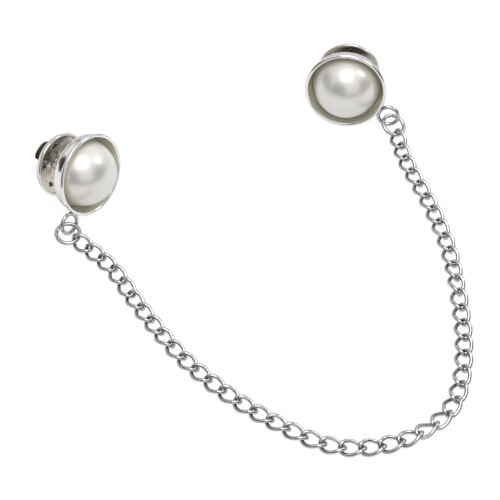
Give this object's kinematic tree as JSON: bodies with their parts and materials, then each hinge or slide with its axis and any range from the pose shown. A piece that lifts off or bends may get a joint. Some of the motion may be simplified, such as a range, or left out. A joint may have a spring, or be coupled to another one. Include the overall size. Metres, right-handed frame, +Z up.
{
  "type": "tie tack",
  "caption": "Pearl tack pins joined by a curb chain; each bezel cup holds a half pearl and a pin post with a sliding butterfly clutch.",
  "frame": {"origin": "centre of the bounding box at table height, both pins lying on their side as laid out for use", "axes": "+Z up from the table; +Y from the chain's bend towards the pins; +X from the left pin to the right one"},
  "size_m": [0.0756, 0.0874, 0.0146],
  "materials": {
    "bright_plating": "mirror-bright white metal plating on a pressed cup, warm olive reflections inside the lip",
    "chain_plating": "bright plated round wire, fine drawing lines along the wire",
    "post_steel": "turned pin wire, slightly duller than the plating",
    "clutch_plating": "bright nickel plating with a warm beige cast on the pressed face",
    "wing_spring_plating": "bright spring strip, dark reflections on the curls",
    "pearl": "imitation half pearl, creamy white nacre coating with a soft deep lustre"
  },
  "bodies": {
    "left_pin": {"left_cup": "bright_plating", "left_pearl": "pearl", "left_pin_post": "post_steel"},
    "left_clutch": {"left_clutch_shell": "clutch_plating"},
    "left_wing_a": {"left_wing_a": "wing_spring_plating"},
    "left_wing_b": {"left_wing_b": "wing_spring_plating"},
    "left_ring": {"left_jump_ring": "chain_plating"},
    "link_01": {"chain_link_01": "chain_plating"},
    "link_02": {"chain_link_02": "chain_plating"},
    "link_03": {"chain_link_03": "chain_plating"},
    "link_04": {"chain_link_04": "chain_plating"},
    "link_05": {"chain_link_05": "chain_plating"},
    "link_06": {"chain_link_06": "chain_plating"},
    "link_07": {"chain_link_07": "chain_plating"},
    "link_08": {"chain_link_08": "chain_plating"},
    "link_09": {"chain_link_09": "chain_plating"},
    "link_10": {"chain_link_10": "chain_plating"},
    "link_11": {"chain_link_11": "chain_plating"},
    "link_12": {"chain_link_12": "chain_plating"},
    "link_13": {"chain_link_13": "chain_plating"},
    "link_14": {"chain_link_14": "chain_plating"},
    "link_15": {"chain_link_15": "chain_plating"},
    "link_16": {"chain_link_16": "chain_plating"},
    "link_17": {"chain_link_17": "chain_plating"},
    "link_18": {"chain_link_18": "chain_plating"},
    "link_19": {"chain_link_19": "chain_plating"},
    "link_20": {"chain_link_20": "chain_plating"},
    "link_21": {"chain_link_21": "chain_plating"},
    "link_22": {"chain_link_22": "chain_plating"},
    "link_23": {"chain_link_23": "chain_plating"},
    "link_24": {"chain_link_24": "chain_plating"},
    "link_25": {"chain_link_25": "chain_plating"},
    "link_26": {"chain_link_26": "chain_plating"},
    "link_27": {"chain_link_27": "chain_plating"},
    "link_28": {"chain_link_28": "chain_plating"},
    "link_29": {"chain_link_29": "chain_plating"},
    "link_30": {"chain_link_30": "chain_plating"},
    "link_31": {"chain_link_31": "chain_plating"},
    "link_32": {"chain_link_32": "chain_plating"},
    "link_33": {"chain_link_33": "chain_plating"},
    "link_34": {"chain_link_34": "chain_plating"},
    "link_35": {"chain_link_35": "chain_plating"},
    "link_36": {"chain_link_36": "chain_plating"},
    "link_37": {"chain_link_37": "chain_plating"},
    "link_38": {"chain_link_38": "chain_plating"},
    "link_39": {"chain_link_39": "chain_plating"},
    "link_40": {"chain_link_40": "chain_plating"},
    "link_41": {"chain_link_41": "chain_plating"},
    "link_42": {"chain_link_42": "chain_plating"},
    "link_43": {"chain_link_43": "chain_plating"},
    "link_44": {"chain_link_44": "chain_plating"},
    "link_45": {"chain_link_45": "chain_plating"},
    "link_46": {"chain_link_46": "chain_plating"},
    "right_ring": {"right_jump_ring": "chain_plating"},
    "right_pin": {"right_cup": "bright_plating", "right_pearl": "pearl", "right_pin_post": "post_steel"},
    "right_clutch": {"right_clutch_shell": "clutch_plating"},
    "right_wing_a": {"right_wing_a": "wing_spring_plating"},
    "right_wing_b": {"right_wing_b": "wing_spring_plating"}
  },
  "joints": [
    {"name": "left_clutch_slide", "type": "slide", "parent": "left_pin", "child": "left_clutch", "axis": [-0.7744, 0.5836, -0.2445], "range_m": [-0.0028, 0.0063]},
    {"name": "left_wing_a_squeeze", "type": "hinge", "parent": "left_clutch", "child": "left_wing_a", "pos_m": [-0.03442, 0.0151, 0.00713], "axis": [-0.4919, -0.7983, -0.3475], "range_deg": [0, 11], "stiffness_Nm_per_rad": 0.005},
    {"name": "left_wing_b_squeeze", "type": "hinge", "parent": "left_clutch", "child": "left_wing_b", "pos_m": [-0.03283, 0.01569, 0.00351], "axis": [0.4919, 0.7983, 0.3475], "range_deg": [0, 11], "stiffness_Nm_per_rad": 0.005},
    {"name": "left_ring_swing", "type": "hinge", "parent": "left_pin", "child": "left_ring", "pos_m": [-0.03175, 0.00247, 0.00124], "axis": [0.4857, 0.3007, -0.8208], "range_deg": [-18, 18]},
    {"name": "link_01_bend", "type": "hinge", "parent": "left_ring", "child": "link_01", "pos_m": [-0.02987, 0.00119, 0.00126], "axis": [0, 0, 1], "range_deg": [-20.5, 31.5]},
    {"name": "link_02_drape", "type": "hinge", "parent": "link_01", "child": "link_02", "pos_m": [-0.02748, -0.00094, 0.00104], "axis": [-0.6827, -0.7307, 0], "range_deg": [-29.6, 22.4]},
    {"name": "link_03_bend", "type": "hinge", "parent": "link_02", "child": "link_03", "pos_m": [-0.02514, -0.00313, 0.00102], "axis": [0, 0, -1], "range_deg": [-31.3, 20.7]},
    {"name": "link_04_drape", "type": "hinge", "parent": "link_03", "child": "link_04", "pos_m": [-0.02302, -0.00552, 0.00098], "axis": [0.8448, 0.535, 0], "range_deg": [-25.1, 26.9]},
    {"name": "link_05_bend", "type": "hinge", "parent": "link_04", "child": "link_05", "pos_m": [-0.02131, -0.00822, 0.00099], "axis": [0, 0, 1], "range_deg": [-22.8, 29.2]},
    {"name": "link_06_drape", "type": "hinge", "parent": "link_05", "child": "link_06", "pos_m": [-0.01975, -0.01101, 0.00084], "axis": [-0.8489, -0.5286, 0], "range_deg": [-29.1, 22.9]},
    {"name": "link_07_bend", "type": "hinge", "parent": "link_06", "child": "link_07", "pos_m": [-0.01805, -0.01373, 0.00085], "axis": [0, 0, -1], "range_deg": [-25.4, 26.6]},
    {"name": "link_08_drape", "type": "hinge", "parent": "link_07", "child": "link_08", "pos_m": [-0.01633, -0.01643, 0.00085], "axis": [0.8328, 0.5535, 0], "range_deg": [-24.5, 27.5]},
    {"name": "link_09_bend", "type": "hinge", "parent": "link_08", "child": "link_09", "pos_m": [-0.01456, -0.01909, 0.00093], "axis": [0, 0, 1], "range_deg": [-28.3, 23.7]},
    {"name": "link_10_drape", "type": "hinge", "parent": "link_09", "child": "link_10", "pos_m": [-0.01268, -0.02168, 0.00093], "axis": [-0.7849, -0.6197, 0], "range_deg": [-24.6, 27.4]},
    {"name": "link_11_bend", "type": "hinge", "parent": "link_10", "child": "link_11", "pos_m": [-0.0107, -0.0242, 0.00085], "axis": [0, 0, -1], "range_deg": [-22.8, 29.2]},
    {"name": "link_12_drape", "type": "hinge", "parent": "link_11", "child": "link_12", "pos_m": [-0.00858, -0.02659, 0.00085], "axis": [0.7092, 0.705, 0], "range_deg": [-25, 27]},
    {"name": "link_13_bend", "type": "hinge", "parent": "link_12", "child": "link_13", "pos_m": [-0.00633, -0.02886, 0.00091], "axis": [0, 0, 1], "range_deg": [-28.9, 23.1]},
    {"name": "link_14_drape", "type": "hinge", "parent": "link_13", "child": "link_14", "pos_m": [-0.00396, -0.03102, 0.00091], "axis": [-0.6342, -0.7732, 0], "range_deg": [-25, 27]},
    {"name": "link_15_bend", "type": "hinge", "parent": "link_14", "child": "link_15", "pos_m": [-0.00149, -0.03305, 0.00085], "axis": [0, 0, -1], "range_deg": [-23.3, 28.7]},
    {"name": "link_16_drape", "type": "hinge", "parent": "link_15", "child": "link_16", "pos_m": [0.00108, -0.03496, 0.00085], "axis": [0.5709, 0.821, 0], "range_deg": [-24.1, 27.9]},
    {"name": "link_17_bend", "type": "hinge", "parent": "link_16", "child": "link_17", "pos_m": [0.00371, -0.03678, 0.00096], "axis": [0, 0, 1], "range_deg": [-28.3, 23.7]},
    {"name": "link_18_drape", "type": "hinge", "parent": "link_17", "child": "link_18", "pos_m": [0.00641, -0.03851, 0.00102], "axis": [-0.4801, -0.8772, 0], "range_deg": [-22.9, 29.1]},
    {"name": "link_19_bend", "type": "hinge", "parent": "link_18", "child": "link_19", "pos_m": [0.00921, -0.04004, 0.00091], "axis": [0, 0, -1], "range_deg": [-20.9, 31.1]},
    {"name": "link_20_drape", "type": "hinge", "parent": "link_19", "child": "link_20", "pos_m": [0.01214, -0.04132, 0.00085], "axis": [0.2369, 0.9715, 0], "range_deg": [-24.8, 27.2]},
    {"name": "link_21_bend", "type": "hinge", "parent": "link_20", "child": "link_21", "pos_m": [0.01524, -0.04208, 0.00085], "axis": [0, 0, 1], "range_deg": [-38.2, 13.8]},
    {"name": "link_22_drape", "type": "hinge", "parent": "link_21", "child": "link_22", "pos_m": [0.01844, -0.04217, 0.00085], "axis": [0.131, -0.9914, 0], "range_deg": [-26, 26]},
    {"name": "link_23_bend", "type": "hinge", "parent": "link_22", "child": "link_23", "pos_m": [0.02161, -0.04175, 0.00085], "axis": [0, 0, -1], "range_deg": [-18.4, 33.6]},
    {"name": "link_24_drape", "type": "hinge", "parent": "link_23", "child": "link_24", "pos_m": [0.0247, -0.04091, 0.00101], "axis": [-0.4112, 0.9115, 0], "range_deg": [-24.6, 27.4]},
    {"name": "link_25_bend", "type": "hinge", "parent": "link_24", "child": "link_25", "pos_m": [0.02761, -0.0396, 0.00125], "axis": [0, 0, 1], "range_deg": [-36.1, 15.9]},
    {"name": "link_26_drape", "type": "hinge", "parent": "link_25", "child": "link_26", "pos_m": [0.03025, -0.0378, 0.00118], "axis": [0.7294, -0.6841, 0], "range_deg": [-22.8, 29.2]},
    {"name": "link_27_bend", "type": "hinge", "parent": "link_26", "child": "link_27", "pos_m": [0.03243, -0.03547, 0.00094], "axis": [0, 0, -1], "range_deg": [-11.7, 40.3]},
    {"name": "link_28_drape", "type": "hinge", "parent": "link_27", "child": "link_28", "pos_m": [0.03397, -0.03267, 0.00085], "axis": [-0.9502, 0.3116, 0], "range_deg": [-24.2, 27.8]},
    {"name": "link_29_bend", "type": "hinge", "parent": "link_28", "child": "link_29", "pos_m": [0.03497, -0.02963, 0.00085], "axis": [0, 0, 1], "range_deg": [-33, 19]},
    {"name": "link_30_drape", "type": "hinge", "parent": "link_29", "child": "link_30", "pos_m": [0.03559, -0.02649, 0.0009], "axis": [0.9928, -0.1199, 0], "range_deg": [-25.1, 26.9]},
    {"name": "link_31_bend", "type": "hinge", "parent": "link_30", "child": "link_31", "pos_m": [0.03597, -0.02332, 0.00089], "axis": [0, 0, -1], "range_deg": [-23, 29]},
    {"name": "link_32_drape", "type": "hinge", "parent": "link_31", "child": "link_32", "pos_m": [0.03619, -0.02012, 0.00085], "axis": [-1, 0.0081, 0], "range_deg": [-25.1, 26.9]},
    {"name": "link_33_bend", "type": "hinge", "parent": "link_32", "child": "link_33", "pos_m": [0.03621, -0.01692, 0.00085], "axis": [0, 0, 1], "range_deg": [-28.4, 23.6]},
    {"name": "link_34_drape", "type": "hinge", "parent": "link_33", "child": "link_34", "pos_m": [0.03611, -0.01373, 0.00085], "axis": [0.9984, 0.0561, 0], "range_deg": [-29.6, 22.4]},
    {"name": "link_35_bend", "type": "hinge", "parent": "link_34", "child": "link_35", "pos_m": [0.03593, -0.01053, 0.00105], "axis": [0, 0, -1], "range_deg": [-25.5, 26.5]},
    {"name": "link_36_drape", "type": "hinge", "parent": "link_35", "child": "link_36", "pos_m": [0.03572, -0.00734, 0.00103], "axis": [-0.9966, -0.0828, 0], "range_deg": [-29.1, 22.9]},
    {"name": "link_37_bend", "type": "hinge", "parent": "link_36", "child": "link_37", "pos_m": [0.03545, -0.00415, 0.00083], "axis": [0, 0, 1], "range_deg": [-28.7, 23.3]},
    {"name": "link_38_drape", "type": "hinge", "parent": "link_37", "child": "link_38", "pos_m": [0.03504, -0.00097, 0.00085], "axis": [0.9813, 0.1925, 0], "range_deg": [-25.5, 26.5]},
    {"name": "link_39_bend", "type": "hinge", "parent": "link_38", "child": "link_39", "pos_m": [0.03443, 0.00217, 0.00085], "axis": [0, 0, -1], "range_deg": [-22.8, 29.2]},
    {"name": "link_40_drape", "type": "hinge", "parent": "link_39", "child": "link_40", "pos_m": [0.03364, 0.00527, 0.00093], "axis": [-0.9605, -0.2784, 0], "range_deg": [-27.6, 24.4]},
    {"name": "link_41_bend", "type": "hinge", "parent": "link_40", "child": "link_41", "pos_m": [0.03274, 0.00834, 0.00093], "axis": [0, 0, 1], "range_deg": [-27.1, 24.9]},
    {"name": "link_42_drape", "type": "hinge", "parent": "link_41", "child": "link_42", "pos_m": [0.0318, 0.0114, 0.00085], "axis": [0.9416, 0.3367, 0], "range_deg": [-27.5, 24.5]},
    {"name": "link_43_bend", "type": "hinge", "parent": "link_42", "child": "link_43", "pos_m": [0.03072, 0.01441, 0.00085], "axis": [0, 0, -1], "range_deg": [-23.8, 28.2]},
    {"name": "link_44_drape", "type": "hinge", "parent": "link_43", "child": "link_44", "pos_m": [0.02953, 0.01738, 0.00092], "axis": [-0.9517, -0.3071, 0], "range_deg": [-25.1, 26.9]},
    {"name": "link_45_bend", "type": "hinge", "parent": "link_44", "child": "link_45", "pos_m": [0.02855, 0.02042, 0.00104], "axis": [0, 0, 1], "range_deg": [-19.4, 32.6]},
    {"name": "link_46_drape", "type": "hinge", "parent": "link_45", "child": "link_46", "pos_m": [0.02792, 0.02356, 0.00094], "axis": [0.9875, 0.1574, 0], "range_deg": [-30.9, 21.1]},
    {"name": "right_ring_bend", "type": "hinge", "parent": "link_46", "child": "right_ring", "pos_m": [0.02741, 0.02672, 0.00112], "axis": [0, 0, -1], "range_deg": [-18.2, 33.8]},
    {"name": "right_pin_swing", "type": "hinge", "parent": "right_ring", "child": "right_pin", "pos_m": [0.02698, 0.0289, 0.00154], "axis": [0.7965, 0.0416, 0.6032], "range_deg": [-18, 18]},
    {"name": "right_clutch_slide", "type": "slide", "parent": "right_pin", "child": "right_clutch", "axis": [0.135, 0.9602, -0.2445], "range_m": [-0.0028, 0.0063]},
    {"name": "right_wing_a_squeeze", "type": "hinge", "parent": "right_clutch", "child": "right_wing_a", "pos_m": [0.0172, 0.03941, 0.00472], "axis": [0.2737, -0.2732, -0.9222], "range_deg": [0, 11], "stiffness_Nm_per_rad": 0.005},
    {"name": "right_wing_b_squeeze", "type": "hinge", "parent": "right_clutch", "child": "right_wing_b", "pos_m": [0.02101, 0.03918, 0.00592], "axis": [-0.2737, 0.2732, 0.9222], "range_deg": [0, 11], "stiffness_Nm_per_rad": 0.005}
  ],
  "couplings": [
    {"joint": "left_wing_b_squeeze", "follows": "left_wing_a_squeeze", "ratio": 1},
    {"joint": "right_wing_b_squeeze", "follows": "right_wing_a_squeeze", "ratio": 1}
  ]
}
